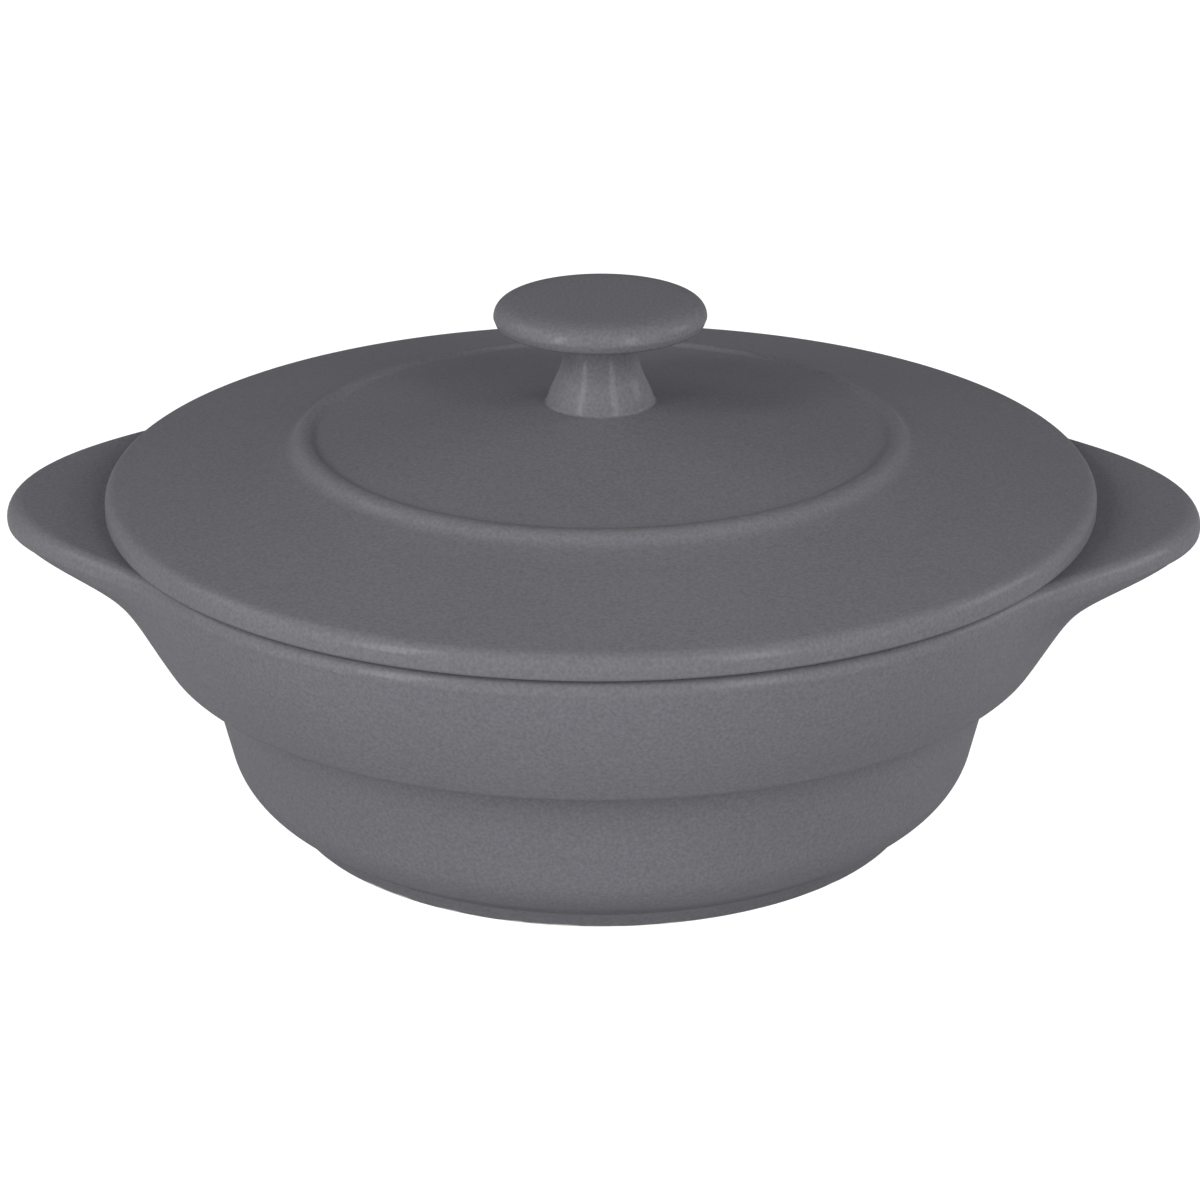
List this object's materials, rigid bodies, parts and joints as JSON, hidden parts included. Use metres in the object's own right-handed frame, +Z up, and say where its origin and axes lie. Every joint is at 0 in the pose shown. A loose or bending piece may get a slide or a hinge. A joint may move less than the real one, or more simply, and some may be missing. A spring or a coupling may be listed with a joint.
{
  "type": "lidded cocotte",
  "caption": "Round lidded porcelain cocotte: stepped pot with two side lugs flush with its rim, and a lift-off lid with a raised ring and a mushroom knob.",
  "frame": {"origin": "middle of the foot ring, on the surface that the pot stands on", "axes": "+X through one lug, +Y across the lugs, +Z up through the knob"},
  "size_m": [0.194, 0.16, 0.0852],
  "materials": {
    "pot_glaze": "satin",
    "lid_glaze": "satin",
    "knob_glaze": "satin"
  },
  "bodies": {
    "pot": {"pot": "pot_glaze"},
    "lid": {"lid": "lid_glaze", "knob": "knob_glaze"}
  },
  "joints": [
    {"name": "lid_lift", "type": "slide", "parent": "pot", "child": "lid", "axis": [0, 0, 1], "range_m": [0, 0.15]}
  ]
}
